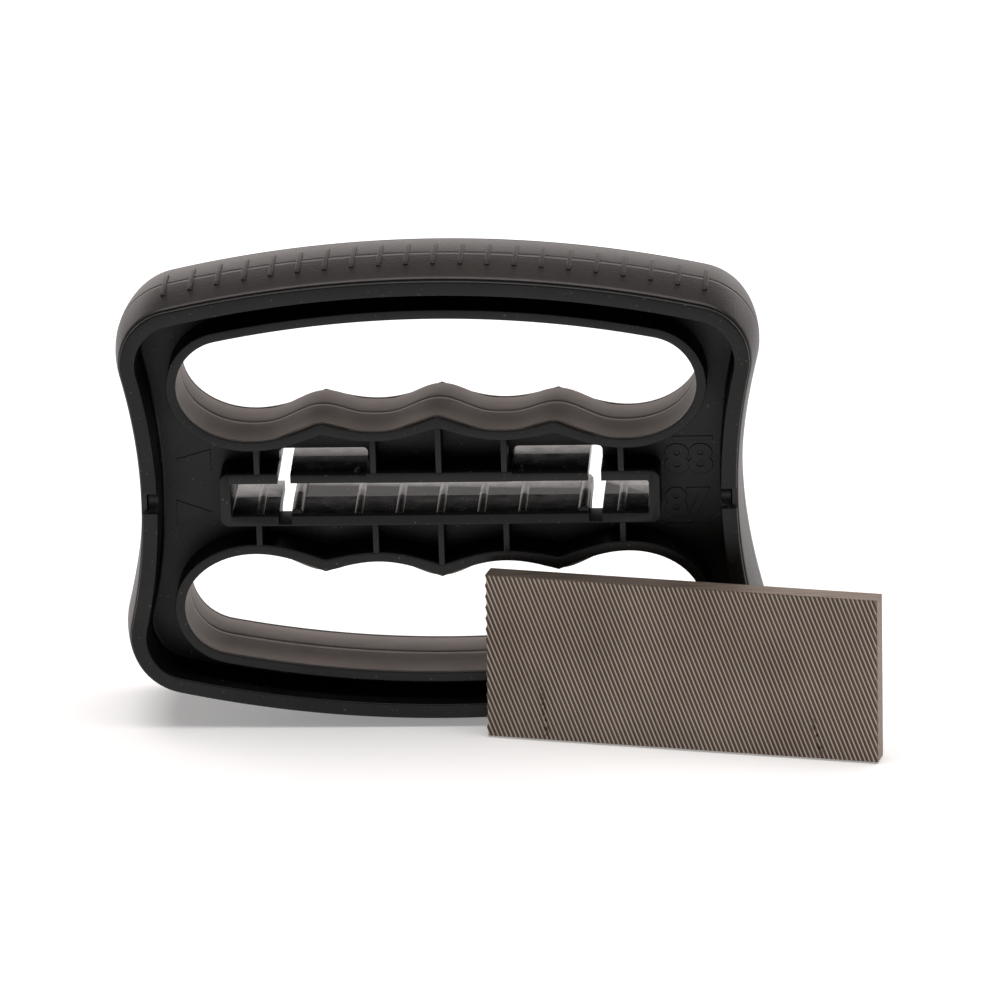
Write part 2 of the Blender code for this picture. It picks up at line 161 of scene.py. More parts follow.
bpy.ops.object.light_add(type="AREA", location=(0, 1.9, 0.34), rotation=(math.radians(-90), 0, 0))
rear_box = bpy.context.active_object
rear_box.name = "rear_soft_box"
rear_box.data.shape = "RECTANGLE"
rear_box.data.size = 3.4
rear_box.data.size_y = 0.68
rear_box.data.energy = 14
rear_box.data.color = (1.0, 0.93, 0.905)


# ---- Rim ----------------------------------------------------------------------------------
# The rim is the outer wall of the guide, one injection moulding of black glass-filled nylon.
# Its two edges are the soles that the tool slides on, so they are flat, with a small round.

half_height = 47.2
half_width = 59.5
long_side_radius = 238.0
end_radius = 117.0
corner_radius = 12.0
half_depth = 12.0
rim_wall = 3.1
rim_draft = 0.2
rim_fillet = 0.7
rim_edge_round = 0.4
rim_inner_round = 0.3
grip_seat = 1.2
grip_land = 0.9
grip_step_round = 0.12
web_half_thickness = 1.6
skin_overlap = 0.05
notch_radius = 2.15
notch_depth = 2.0
notch_reach = 15.5


def arc(centre, radius, start, end, steps):
    """Points on a circle from angle start to end, in degrees, ends included."""
    angles = [math.radians(start + (end - start) * i / steps) for i in range(steps + 1)]
    return [(centre[0] + radius * math.cos(a), centre[1] + radius * math.sin(a)) for a in angles]


def without_repeats(points):
    """The outline without points that stand on the one before."""
    return [p for i, p in enumerate(points) if math.dist(p, points[i - 1]) > 0.001]


def offset(points, distance):
    """An anticlockwise outline moved outwards by distance, or by one distance for each point."""
    distances = distance if isinstance(distance, list) else [distance] * len(points)
    moved = []
    for i, (x, z) in enumerate(points):
        before = Vector((x - points[i - 1][0], z - points[i - 1][1])).normalized()
        following = points[(i + 1) % len(points)]
        after = Vector((following[0] - x, following[1] - z)).normalized()
        outward = Vector((before.y + after.y, -before.x - after.x)).normalized()
        reach = distances[i] / max(outward.dot(Vector((before.y, -before.x))), 0.5)
        moved.append((x + outward.x * reach, z + outward.y * reach))
    return moved


def rim_outline():
    """Barrel shape: bowed long sides, hollow ends and round corners that touch both."""
    side_centre = half_height - long_side_radius
    end_centre = half_width + end_radius
    to_side = long_side_radius - corner_radius
    to_end = end_radius + corner_radius
    apart = math.hypot(end_centre, side_centre)
    along = (to_side**2 - to_end**2 + apart**2) / (2 * apart)
    aside = math.sqrt(to_side**2 - along**2)
    toward = Vector((end_centre, -side_centre)) / apart
    corner = Vector((0, side_centre)) + toward * along + Vector((-toward.y, toward.x)) * aside
    side_lean = math.degrees(math.atan2(corner.x, corner.y - side_centre))
    end_lean = math.degrees(math.atan2(corner.y, end_centre - corner.x))
    quarter = arc((end_centre, 0), end_radius, 180, 180 - end_lean, 16)
    quarter += arc(corner, corner_radius, -end_lean, 90 - side_lean, 18)[1:]
    quarter += arc((0, side_centre), long_side_radius, 90 - side_lean, 90, 24)[1:]
    half = quarter + [(-x, z) for x, z in reversed(quarter)]
    return without_repeats(half + [(x, -z) for x, z in reversed(half)])


def on_guide(x, y, z):
    """The place of a point that is measured in millimetres from the middle of the guide."""
    return guide_centre + Vector((x, y, z)) * MM


def select_only(piece):
    """Leaves this object as the one that is selected and active."""
    bpy.ops.object.select_all(action="DESELECT")
    piece.select_set(True)
    bpy.context.view_layer.objects.active = piece


def extruded(name, rings, ends="joined"):
    """A skin made from a circle that is laid on the first ring and extruded through the others.

    Each ring is (y, outline). The ends are joined to each other, or filled with a face each."""
    bpy.ops.object.select_all(action="DESELECT")
    fill = "NGON" if ends == "filled" else "NOTHING"
    bpy.ops.mesh.primitive_circle_add(vertices=len(rings[0][1]), fill_type=fill)
    piece = bpy.context.active_object
    piece.name = name
    bpy.ops.object.mode_set(mode="EDIT")
    bpy.ops.mesh.select_all(action="SELECT")
    order = list(range(len(rings[0][1])))
    for number, (y, outline) in enumerate(rings):
        if number and ends == "filled":
            bpy.ops.mesh.extrude_region_move()
        elif number:
            bpy.ops.mesh.extrude_edges_move()
        mesh = bmesh.from_edit_mesh(piece.data)
        mesh.verts.ensure_lookup_table()
        moving = [vertex for vertex in mesh.verts if vertex.select]
        if number:
            order = [at_place[tuple(vertex.co)] for vertex in moving]
        at_place = {}
        for vertex, place in zip(moving, order):
            vertex.co = on_guide(outline[place][0], y, outline[place][1])
            at_place[tuple(vertex.co)] = place
        bmesh.update_edit_mesh(piece.data)
    bpy.ops.mesh.select_all(action="SELECT")
    bpy.ops.mesh.remove_doubles(threshold=0.0005 * MM)
    bpy.ops.mesh.normals_make_consistent(inside=False)
    bpy.ops.object.mode_set(mode="OBJECT")
    bpy.ops.object.transform_apply(location=True, rotation=True, scale=True)
    return piece


def rounded(corner, out_step, y_step, steps=4):
    """Profile points (out, y) round an edge, from out_step beside the corner to y_step below it."""
    turns = [math.pi / 2 * i / steps for i in range(steps + 1)]
    return [
        (corner[0] + out_step * (1 - math.sin(t)), corner[1] + y_step * (1 - math.cos(t)))
        for t in turns
    ]


def both_faces(near_profile):
    """A profile for the near half, followed by its mirror image for the far half."""
    return near_profile + [(out, -y) for out, y in reversed(near_profile)]


def cut_away(piece, cutters):
    """Takes the cutters out of the piece and removes them."""
    for cutter in cutters:
        select_only(piece)
        taking = piece.modifiers.new("cut", "BOOLEAN")
        taking.operation = "DIFFERENCE"
        taking.solver = "EXACT"
        taking.object = cutter
        bpy.ops.object.modifier_apply(modifier=taking.name)
        bpy.data.objects.remove(cutter)


def smooth(piece, least_angle=30):
    """Shades the piece smooth, except at edges that turn by more than least_angle."""
    select_only(piece)
    bpy.ops.object.shade_smooth_by_angle(angle=math.radians(least_angle))


outline = rim_outline()
inner = -rim_wall
near_rim = [(-grip_seat, -half_depth + grip_land)]
near_rim += rounded((0, -half_depth + grip_land), -grip_step_round, -grip_step_round)
near_rim += rounded((0, -half_depth), -rim_edge_round, rim_edge_round, 6)[::-1]
near_rim += rounded((inner, -half_depth), rim_inner_round, rim_inner_round)
rim_foot = inner - rim_draft
for turn in (0, math.pi / 8, math.pi / 4, 3 * math.pi / 8):
    into_web = rim_fillet * (1 - math.cos(turn))
    near_rim.append((rim_foot - into_web, -web_half_thickness - rim_fillet * (1 - math.sin(turn))))
near_rim += [(rim_foot - rim_fillet, -web_half_thickness + skin_overlap)]
rim_rings = [(y, offset(outline, out)) for out, y in both_faces(near_rim) + near_rim[:1]]
rim = extruded("guide_rim", rim_rings)

notches = []
for x in (-half_width, half_width):
    for y in (-half_depth, half_depth):
        bpy.ops.mesh.primitive_cylinder_add(
            vertices=48, radius=notch_radius * MM, depth=notch_reach * MM
        )
        notch = bpy.context.active_object
        notch.scale = (1, notch_depth / notch_radius, 1)
        notch.rotation_euler = (0, math.radians(90), 0)
        notch.location = on_guide(x, y, 0)
        notches.append(notch)
cut_away(rim, notches)
smooth(rim)

# The plastic: satin from the spark-eroded mould, near black, with a fine grain. Handling has
# polished it in places, so its gloss varies slowly.
nylon, surface = new_material("black_glass_filled_nylon_satin_moulded")
place = add_node(nylon, "ShaderNodeTexCoord").outputs["Object"]
spark_grain_per_metre = 1 / (0.45 * MM)
handling_per_metre = 1 / (14 * MM)
grain = add_node(
    nylon, "ShaderNodeTexNoise", {"Vector": place, "Scale": spark_grain_per_metre, "Detail": 3.0}
)
handling = add_node(
    nylon, "ShaderNodeTexNoise", {"Vector": place, "Scale": handling_per_metre, "Detail": 4.0}
)
gloss = add_node(
    nylon,
    "ShaderNodeMapRange",
    {
        "Value": handling.outputs["Fac"],
        "From Min": 0.3,
        "From Max": 0.7,
        "To Min": 0.34,
        "To Max": 0.46,
    },
)
pigment = add_node(nylon, "ShaderNodeValToRGB", {"Fac": grain.outputs["Fac"]})
pigment.color_ramp.elements[0].position = 0.35
pigment.color_ramp.elements[0].color = linear("#060606")
pigment.color_ramp.elements[1].position = 0.7
pigment.color_ramp.elements[1].color = linear("#0d0c0c")
dust_spacing_per_metre = 1 / (0.7 * MM)
dust = add_node(
    nylon, "ShaderNodeTexNoise", {"Vector": place, "Scale": dust_spacing_per_metre, "Detail": 2.0}
)
dust_specks = add_node(
    nylon,
    "ShaderNodeMapRange",
    {"Value": dust.outputs["Fac"], "From Min": 0.69, "From Max": 0.76, "To Max": 0.5},
)
dusty = add_node(
    nylon,
    "ShaderNodeMix",
    {"Factor": dust_specks.outputs["Result"], 6: pigment.outputs["Color"], 7: linear("#6a6462")},
    data_type="RGBA",
)
relief = add_node(
    nylon,
    "ShaderNodeBump",
    {"Height": grain.outputs["Fac"], "Strength": 0.6, "Distance": 0.04 * MM},
)
skin = add_node(
    nylon,
    "ShaderNodeBsdfPrincipled",
    {
        "Base Color": dusty.outputs[2],
        "Roughness": gloss.outputs["Result"],
        "Normal": relief.outputs["Normal"],
        "IOR": 1.5,
        "Specular IOR Level": 0.3,
    },
)
nylon.node_tree.links.new(skin.outputs[0], surface.inputs["Surface"])
rim.data.materials.append(nylon)
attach(rim, "guide")
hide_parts("guide_body")


# ---- Collars ------------------------------------------------------------------------------
# Each finger hole has a collar of the same moulding, whose wavy side backs the finger seats.
# Its lip stands over the edge of the soft lining, and its thin edges catch the light.

hole_top = 38.2
hole_arc_radius = 217.0
hole_half_length = 52.0
hole_corner_radius = 10.2
finger_wave = ((37.5, 12.1), (23.4, 16.0), (12.8, 14.0), (0, 17.3))
seat_breadth = 1.45
collar_wall = 2.0
peak_thickening = 0.5
wall_half_depth = 9.5
lip = 0.9
lining_thickness = 0.9
lining_gap = 0.3
collar_edge_round = 0.22


def sharp(share):
    """Rise from a finger seat, 0, to a sharp peak, 1, where two hollow arcs meet."""
    return 1 - math.cos(math.pi / 2 * share)


def blunt(share):
    """Rise from a finger seat, 0, to a rounded peak, 1. The seats are broader than the peaks."""
    return ((1 - math.cos(math.pi * share)) / 2) ** seat_breadth


def finger_hole(grown, wave, rise):
    """The upper finger hole, grown outwards: a bowed top, round ends and a wavy underside."""
    arc_centre = hole_top - hole_arc_radius
    corner_x = hole_half_length - hole_corner_radius
    corner_z = arc_centre + math.sqrt((hole_arc_radius - hole_corner_radius) ** 2 - corner_x**2)
    lean = math.degrees(math.atan2(corner_x, corner_z - arc_centre))
    half = arc((0, arc_centre), hole_arc_radius + grown, 90, 90 - lean, 20)
    half += arc((corner_x, corner_z), hole_corner_radius + grown, 90 - lean, 0, 18)[1:]
    lobe_x, lobe_z = wave[0]
    lobe_reach = hole_half_length + grown - lobe_x
    lobe = arc((0, 0), 1, 0, -90, 16)[1:]
    half += [(lobe_x + x * lobe_reach, corner_z + z * (corner_z - lobe_z)) for x, z in lobe]
    for i, ((x0, z0), (x1, z1)) in enumerate(zip(wave, wave[1:])):
        for share in [step / 14 for step in range(1, 15)]:
            up = rise(share) if i % 2 == 0 else 1 - rise(1 - share)
            half.append((x0 + (x1 - x0) * share, z0 + (z1 - z0) * up))
    return without_repeats([(-x, z) for x, z in half][1:-1] + half[::-1])


def turned_over(outline):
    """The outline's mirror image below the middle, still running anticlockwise."""
    return [(x, -z) for x, z in reversed(outline)]


back_wave = [
    (x, z - collar_wall - peak_thickening * (i % 2)) for i, (x, z) in enumerate(finger_wave)
]
lip_outline = finger_hole(0, finger_wave, sharp)
collar_outline = finger_hole(collar_wall, back_wave, sharp)
seat = lining_thickness + lining_gap
seat_half_depth = wall_half_depth - lip + lining_gap

near_lip = [(seat, -seat_half_depth), (0, -seat_half_depth)]
near_lip += rounded((0, -wall_half_depth), collar_edge_round, collar_edge_round)[::-1]
near_back = rounded((0, -wall_half_depth), -collar_edge_round, collar_edge_round)
for name, turned in (("upper_collar", False), ("lower_collar", True)):
    hole = turned_over(lip_outline) if turned else lip_outline
    behind = turned_over(collar_outline) if turned else collar_outline
    rings = [(y, offset(hole, out)) for out, y in near_lip]
    rings += [(y, offset(behind, out)) for out, y in near_back]
    rings += [(-y, ring) for y, ring in reversed(rings)]
    collar = extruded(name, rings + rings[:1])
    smooth(collar)
    collar.data.materials.append(nylon)
    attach(collar, "guide")


# ---- Web ----------------------------------------------------------------------------------
# A thin web of the same moulding closes the middle of the guide's depth, between the rim and
# the walls. It is open at the finger holes, the channel, the two windows and the slots.

channel_half_length = 41.9
channel_top = 3.05
channel_bottom = -3.85
channel_middle = -0.4
channel_wall = 2.2
beam_top = channel_top + channel_wall
slot_inner = 29.8
slot_outer = 32.4
slot_floor = 1.7
slot_deep_from = -2.7
slot_deep_reach = 2.4
arm_root = 14.6
window_height = 2.4
window_radius = 1.0
into_wall = 1.5
into_channel_wall = 1.0
web_into_rim = 0.6


def round_rectangle(low, high, radius, steps=6):
    """A rectangle with round corners, anticlockwise from the end of its right side."""
    (x0, z0), (x1, z1) = low, high
    points = arc((x1 - radius, z1 - radius), radius, 0, 90, steps)
    points += arc((x0 + radius, z1 - radius), radius, 90, 180, steps)
    points += arc((x0 + radius, z0 + radius), radius, 180, 270, steps)
    return without_repeats(points + arc((x1 - radius, z0 + radius), radius, 270, 360, steps))


def opening(name, outline, near=-half_depth, far=half_depth):
    """A solid that cuts an opening of this outline."""
    return extruded(name, [(near, outline), (far, outline)], ends="filled")


def deep_slots(deep_end):
    """Solids that cut the two slots' deep part, on the far half, down to height deep_end."""
    cutters = []
    for low_x, high_x in ((-slot_outer, -slot_inner), (slot_inner, slot_outer)):
        top = [(high_x, channel_middle), (low_x, channel_middle)]
        slot = top + [(low_x, deep_end), (high_x, deep_end)]
        cutters.append(opening("slot", slot, near=slot_deep_from))
    return cutters


web_outline = offset(outline, rim_foot + web_into_rim)
web_rings = [(-web_half_thickness, web_outline), (web_half_thickness, web_outline)]
web = extruded("web", web_rings, ends="filled")
channel_low = (-channel_half_length - into_channel_wall, channel_bottom - into_channel_wall)
channel_high = (channel_half_length + into_channel_wall, channel_top + into_channel_wall)
openings = [
    opening("upper_hole", offset(lip_outline, into_wall)),
    opening("lower_hole", offset(turned_over(lip_outline), into_wall)),
    opening("channel_way", round_rectangle(channel_low, channel_high, window_radius)),
]
for low_x, high_x in ((-slot_outer, -arm_root), (arm_root, slot_outer)):
    window_high = (high_x, beam_top + window_height)
    window = round_rectangle((low_x, channel_middle), window_high, window_radius)
    openings.append(opening("window", window))
cut_away(web, openings + deep_slots(channel_bottom - channel_wall - slot_deep_reach))
smooth(web)
web.data.materials.append(nylon)
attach(web, "guide")


# ---- Marks --------------------------------------------------------------------------------
# Low pads stand on the web's near face: two arrowheads that show which way the file points,
# and the two edge angles that the guide's faces give, each with a bar on its own side.

mark_height = 0.18
mark_edge_round = 0.07
numeral_height = 6.5
stroke_widening = 0.035
stroke_depth = 0.03
stroke_round = 0.012
left_arrow = [(-46.2, 7.6), (-53.2, 5.5), (-46.2, 3.0)]
right_arrow = [(-53.5, -3.3), (-53.5, -8.9), (-46.4, -6.0)]
upper_bar = [(54.6, 9.4), (46.4, 9.4), (46.4, 8.5), (54.6, 8.5)]
lower_bar = [(53.8, -9.4), (44.4, -9.4), (44.4, -10.3), (53.8, -10.3)]


def low_pad(name, pad_outline):
    """A low pad on the web's near face, with its edges rounded."""
    top = -web_half_thickness - mark_height
    rings = [(top, offset(pad_outline, -mark_edge_round)), (top + mark_edge_round, pad_outline)]
    rings += [(-web_half_thickness + skin_overlap, pad_outline)]
    return extruded(name, rings, ends="filled")


marks = [low_pad("left_arrow", left_arrow), low_pad("right_arrow", right_arrow)]
marks += [low_pad("upper_bar", upper_bar), low_pad("lower_bar", lower_bar)]
for text, x, z, width in (("88", 44.7, 1.3, 9.8), ("87", 44.6, -8.1, 9.2)):
    bpy.ops.object.text_add()
    numerals = bpy.context.active_object
    numerals.name = "angle_numerals"
    numerals.data.body = text
    numerals.data.offset = stroke_widening
    numerals.data.extrude = stroke_depth
    numerals.data.bevel_depth = stroke_round
    numerals.data.bevel_resolution = 1
    bpy.ops.object.convert(target="MESH")
    wanted = (width, numeral_height, 2 * mark_height)
    scale = Vector([size / present for size, present in zip(wanted, numerals.dimensions)])
    low = Vector([min(v.co[i] for v in numerals.data.vertices) for i in range(3)])
    numerals.data.transform(Matrix.Translation(-low))
    numerals.scale = scale * MM
    numerals.rotation_euler = (math.radians(90), 0, 0)
    numerals.location = on_guide(x, -web_half_thickness + mark_height, z)
    bpy.ops.object.transform_apply(location=True, rotation=True, scale=True)
    marks.append(numerals)
for mark in marks:
    smooth(mark, 40)
    mark.data.materials.clear()
    mark.data.materials.append(nylon)
    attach(mark, "guide")


# ---- Channel ------------------------------------------------------------------------------
# The walls of the channel that grips the file, with the two slots cut down into its floor.
# This part of the mould was polished, so it is glossy, and it tapers to a crease at mid-depth.

channel_draft = 0.25
channel_outer_radius = 1.8
channel_inner_radius = 0.5
wall_edge_round = 0.2
below_floor = -9


def channel_walls(narrowed, shrunk):
    """Floor, ends and end roofs of the channel as one outline.

    Its inside is narrowed by the taper, and the whole wall is shrunk."""
    right = channel_half_length + channel_wall - shrunk
    floor, roof = channel_bottom - channel_wall + shrunk, beam_top - shrunk
    radius = channel_outer_radius - shrunk
    inside_floor, inside_roof = channel_bottom + narrowed - shrunk, channel_top - narrowed + shrunk
    slot_in, slot_out = slot_inner - shrunk, slot_outer + shrunk
    slot_bottom = channel_bottom - slot_floor - shrunk
    round_x = channel_half_length - narrowed + shrunk - channel_inner_radius
    half = [(slot_in, inside_floor), (slot_in, slot_bottom)]
    half += [(slot_out, slot_bottom), (slot_out, inside_floor)]
    half += arc((round_x, inside_floor + channel_inner_radius), channel_inner_radius, 270, 360, 4)
    half += arc((round_x, inside_roof - channel_inner_radius), channel_inner_radius, 0, 90, 4)
    half += [(slot_out, inside_roof), (slot_out, roof)]
    half += arc((right - radius, roof - radius), radius, 90, 0, 8)
    half += arc((right - radius, floor + radius), radius, 0, -90, 8)
    return half[::-1] + [(-x, z) for x, z in half]


def tapered(shape, face=wall_half_depth):
    """The outlines of a tapered wall from its near face to its far face, with its edges rounded."""
    half_way = 0.3 * wall_edge_round
    edge = ((wall_edge_round, 0), (half_way, half_way), (0, wall_edge_round))
    near = [(-face + inward, shape(0, shrunk)) for shrunk, inward in edge]
    far = [(-y, outline) for y, outline in reversed(near)]
    return near + [(0, shape(channel_draft, 0))] + far


walls = extruded("channel_walls", tapered(channel_walls), ends="filled")
cut_away(walls, deep_slots(below_floor))


def roof_outline(narrowed, shrunk):
    """The fixed stretch of the channel's roof, between the two spring arms."""
    end = arm_root - shrunk
    low, high = channel_top - narrowed + shrunk, beam_top - shrunk
    return [(end, high), (-end, high), (-end, low), (end, low)]


roof = extruded("channel_roof", tapered(roof_outline), ends="filled")

# Crush ribs: low round ribs that grip the file, moulded on the channel's floor and roof, with
# a taller stop rib beside each slot.
crush_rib_places = (0, 8.2, 16.4, 36.2)
crush_rib_width = 1.6
crush_rib_height = 0.3
crush_rib_end_round = 0.25
stop_rib_radius = 1.2
stop_rib_place = slot_inner - 1.15
rib_half_depth = wall_half_depth - lip


def crush_rib(name, x, wall, rise, radius):
    """A rib across a channel wall at height wall, bent at the crease.

    It stands this rise above the wall, or below it where rise is negative."""
    bpy.ops.object.select_all(action="DESELECT")
    bpy.ops.mesh.primitive_cylinder_add(
        vertices=32, radius=radius * MM, depth=2 * rib_half_depth * MM
    )
    rib = bpy.context.active_object
    rib.name = name
    rib.rotation_euler = (math.radians(90), 0, 0)
    rib.location = on_guide(x, 0, wall + rise - math.copysign(radius, rise))
    bpy.ops.object.mode_set(mode="EDIT")
    bpy.ops.mesh.select_all(action="SELECT")
    bpy.ops.mesh.edges_select_sharp(sharpness=math.radians(40))
    bpy.ops.mesh.bevel(offset=crush_rib_end_round * MM, segments=3)
    bpy.ops.object.mode_set(mode="OBJECT")
    bpy.ops.object.transform_apply(location=True, rotation=True, scale=True)
    bpy.ops.object.mode_set(mode="EDIT")
    bpy.ops.mesh.select_all(action="SELECT")
    bpy.ops.mesh.bisect(plane_co=guide_centre, plane_no=(0, 1, 0))
    bpy.ops.object.mode_set(mode="OBJECT")
    for vertex in rib.data.vertices:
        from_crease = abs(vertex.co.y - guide_centre.y) / (wall_half_depth * MM)
        vertex.co.z -= math.copysign(channel_draft * from_crease, rise) * MM
    return rib


crest_radius = (crush_rib_width**2 / 4 + crush_rib_height**2) / (2 * crush_rib_height)
floor_wall = channel_bottom + channel_draft
roof_wall = channel_top - channel_draft
moulded = [walls, roof]
for x in sorted({side * x for x in crush_rib_places for side in (-1, 1)}):
    moulded.append(crush_rib("floor_crush_rib", x, floor_wall, crush_rib_height, crest_radius))
    if not arm_root < abs(x) < slot_inner:
        moulded.append(crush_rib("roof_crush_rib", x, roof_wall, -crush_rib_height, crest_radius))
for x in (-stop_rib_place, stop_rib_place):
    moulded.append(crush_rib("stop_rib", x, floor_wall, stop_rib_radius, stop_rib_radius))

polished, surface = new_material("black_nylon_from_polished_mould")
place = add_node(polished, "ShaderNodeTexCoord").outputs["Object"]
flow_per_metre = 1 / (3 * MM)
flow = add_node(
    polished, "ShaderNodeTexNoise", {"Vector": place, "Scale": flow_per_metre, "Detail": 5.0}
)
sheen = add_node(
    polished,
    "ShaderNodeMapRange",
    {"Value": flow.outputs["Fac"], "From Min": 0.3, "From Max": 0.7, "To Min": 0.16, "To Max": 0.3},
)
skin = add_node(
    polished,
    "ShaderNodeBsdfPrincipled",
    {
        "Base Color": linear("#191817"),
        "Roughness": sheen.outputs["Result"],
        "IOR": 1.45,
        "Specular IOR Level": 0.16,
    },
)
polished.node_tree.links.new(skin.outputs[0], surface.inputs["Surface"])


def keep_crease(piece):
    """Keeps the crease at mid-depth sharp, where the two halves of the mould met."""
    for edge in piece.data.edges:
        ends = [piece.data.vertices[i].co.y - guide_centre.y for i in edge.vertices]
        if all(abs(y) < 0.01 * MM for y in ends):
            edge.use_edge_sharp = True


for piece in moulded:
    smooth(piece)
    keep_crease(piece)
    piece.data.materials.append(nylon)
    piece.data.materials.append(polished)
    for face in piece.data.polygons:
        middle = face.center - guide_centre
        in_channel = channel_bottom - 0.1 < middle.z / MM < channel_top + 0.1
        face.material_index = 1 if in_channel and abs(face.normal.y) < 0.5 else 0
    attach(piece, "guide")


# ---- Bay ribs -----------------------------------------------------------------------------
# Thin ribs of the same moulding tie the channel's walls to the collars on both sides.

rib_width = 1.25
rib_into_channel_wall = 1.0
rib_places = (-36.45, -13.1, 0, 13.1, 36.45)


def collar_side(x):
    """How far the collar's wavy inner side is from the middle at x."""
    side = sorted(p for p in lip_outline if p[1] < finger_wave[-1][1] + collar_wall)
    for (x0, z0), (x1, z1) in zip(side, side[1:]):
        if x0 <= x <= x1:
            return z0 + (z1 - z0) * (x - x0) / (x1 - x0)


for x in rib_places:
    for side, wall in ((1, beam_top), (-1, channel_bottom - channel_wall)):
        ends = (wall - side * rib_into_channel_wall, side * (collar_side(x) - collar_wall / 2))
        bpy.ops.object.select_all(action="DESELECT")
        bpy.ops.mesh.primitive_cube_add(size=1, location=on_guide(x, 0, sum(ends) / 2))
        rib = bpy.context.active_object
        rib.name = "bay_rib"
        rib_depth = 2 * (wall_half_depth - skin_overlap)
        rib.scale = (rib_width * MM, rib_depth * MM, abs(ends[0] - ends[1]) * MM)
        bpy.ops.object.transform_apply(location=True, rotation=True, scale=True)
        bpy.ops.object.mode_set(mode="EDIT")
        bpy.ops.mesh.select_all(action="SELECT")
        bpy.ops.mesh.bevel(offset=wall_edge_round * MM, segments=3)
        bpy.ops.object.mode_set(mode="OBJECT")
        smooth(rib)
        rib.data.materials.append(nylon)
        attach(rib, "guide")


# ---- Spring arms --------------------------------------------------------------------------
# The roof of the channel is cut free at each slot and along a window, so it springs and holds
# the file. The arm is one with the roof at its root, where it bends.

root_overlap = 1.0


def right_arm_outline(narrowed, shrunk):
    """The right arm, from its root inside the fixed roof to its free end at the slot."""
    root, tip = arm_root - root_overlap, slot_inner - shrunk
    low = channel_top - narrowed + shrunk + skin_overlap
    high = beam_top + narrowed - channel_draft - shrunk - skin_overlap
    return [(tip, high), (root, high), (root, low), (tip, low)]


def left_arm_outline(narrowed, shrunk):
    """The left arm, which is the right arm's mirror image."""
    return [(-x, z) for x, z in reversed(right_arm_outline(narrowed, shrunk))]


for name, side, arm_outline in (
    ("left_spring_arm", -1, left_arm_outline),
    ("right_spring_arm", 1, right_arm_outline),
):
    arm_rings = tapered(arm_outline, wall_half_depth - skin_overlap)
    arm = extruded(name + "_moulding", arm_rings, ends="filled")
    for x in crush_rib_places:
        if arm_root < x < slot_inner:
            rib = crush_rib("arm_crush_rib", side * x, roof_wall, -crush_rib_height, crest_radius)
            select_only(arm)
            rib.select_set(True)
            bpy.ops.object.join()
    smooth(arm)
    keep_crease(arm)
    arm.data.materials.append(nylon)
    arm.data.materials.append(polished)
    for face in arm.data.polygons:
        face.material_index = 1 if abs(face.normal.z) > 0.5 or abs(face.normal.y) < 0.3 else 0
    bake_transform(arm)
    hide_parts(name)


# ---- Outer grip ---------------------------------------------------------------------------
# A soft band of grey thermoplastic rubber, moulded round the rim. It swells across its depth,
# shows the mould's parting line all the way round, and has raised ribs along both long bars.

grip_gap = 0.3
grip_half_depth = half_depth - grip_land - grip_gap
grip_step = 0.25
grip_edge_step = 0.05
grip_edge_round = 0.15
bar_crown = 1.5
bar_crown_from = 30
end_crown = 0.7
parting_half_width = 0.11
parting_depth = 0.12


def crown_height(point):
    """How far the band stands out at mid-depth: more along the bars than at the hollow ends."""
    share = min(abs(point[1]) / bar_crown_from, 1)
    return end_crown + (bar_crown - end_crown) * share * share * (3 - 2 * share)


def band_fall(share):
    """How much of its swell the band has lost at this share of its half depth."""
    return 0.15 * abs(share) + 0.85 * share * share


def band_ring(share):
    """One ring of the band's skin, at this share of its half depth."""
    rise = 1 - band_fall(share)
    heights = [grip_step + (crown_height(point) - grip_step) * rise for point in outline]
    return (share * grip_half_depth, offset(outline, heights))


places = [-1 + i / 12 for i in range(12)]
near_band = [band_ring(share) for share in places]
near_band[0] = (-grip_half_depth + grip_edge_round, near_band[0][1])
edge_ring = (-grip_half_depth, offset(outline, grip_edge_step))
crest = [crown_height(point) for point in outline]
near_band = [edge_ring] + near_band + [(-parting_half_width, offset(outline, crest))]
buried = offset(outline, grip_gap - grip_seat)
parting_line = (0, offset(outline, [height - parting_depth for height in crest]))
band_rings = [(-grip_half_depth, buried)] + near_band + [parting_line]
band_rings += [(-y, ring) for y, ring in reversed(near_band)] + [(grip_half_depth, buried)]
grip = extruded("outer_grip_band", band_rings + band_rings[:1])
smooth(grip, 50)

grip_ribs = 21
grip_rib_pitch = 5.4
grip_rib_width = 0.9
grip_rib_length = 11.0
grip_rib_height = 0.3
grip_rib_root = 1.6
grip_rib_end_round = 0.42
grip_rib_top_round = 0.12
grip_rib_bend = 0.6
rib_crest = half_height + bar_crown + grip_rib_height
bpy.ops.object.select_all(action="DESELECT")
bpy.ops.mesh.primitive_cube_add(size=1)
rib_pattern = bpy.context.active_object
rib_pattern.name = "grip_rib"
rib_pattern.scale = (grip_rib_width * MM, grip_rib_length * MM, grip_rib_root * MM)
bpy.ops.object.transform_apply(location=True, rotation=True, scale=True)
bpy.ops.object.mode_set(mode="EDIT")
mesh = bmesh.from_edit_mesh(rib_pattern.data)
for edge in mesh.edges:
    edge.select = abs(edge.verts[0].co.z - edge.verts[1].co.z) > MM
bmesh.update_edit_mesh(rib_pattern.data)
bpy.ops.mesh.bevel(offset=grip_rib_end_round * MM, segments=4)
bpy.ops.mesh.select_all(action="DESELECT")
mesh = bmesh.from_edit_mesh(rib_pattern.data)
for edge in mesh.edges:
    edge.select = all(v.co.z > 0.49 * grip_rib_root * MM for v in edge.verts)
bmesh.update_edit_mesh(rib_pattern.data)
bpy.ops.mesh.bevel(offset=grip_rib_top_round * MM, segments=3)
for cut_y in range(-4, 5):
    bpy.ops.mesh.select_all(action="SELECT")
    bpy.ops.mesh.bisect(plane_co=(0, cut_y * MM, 0), plane_no=(0, 1, 0))
bpy.ops.object.mode_set(mode="OBJECT")
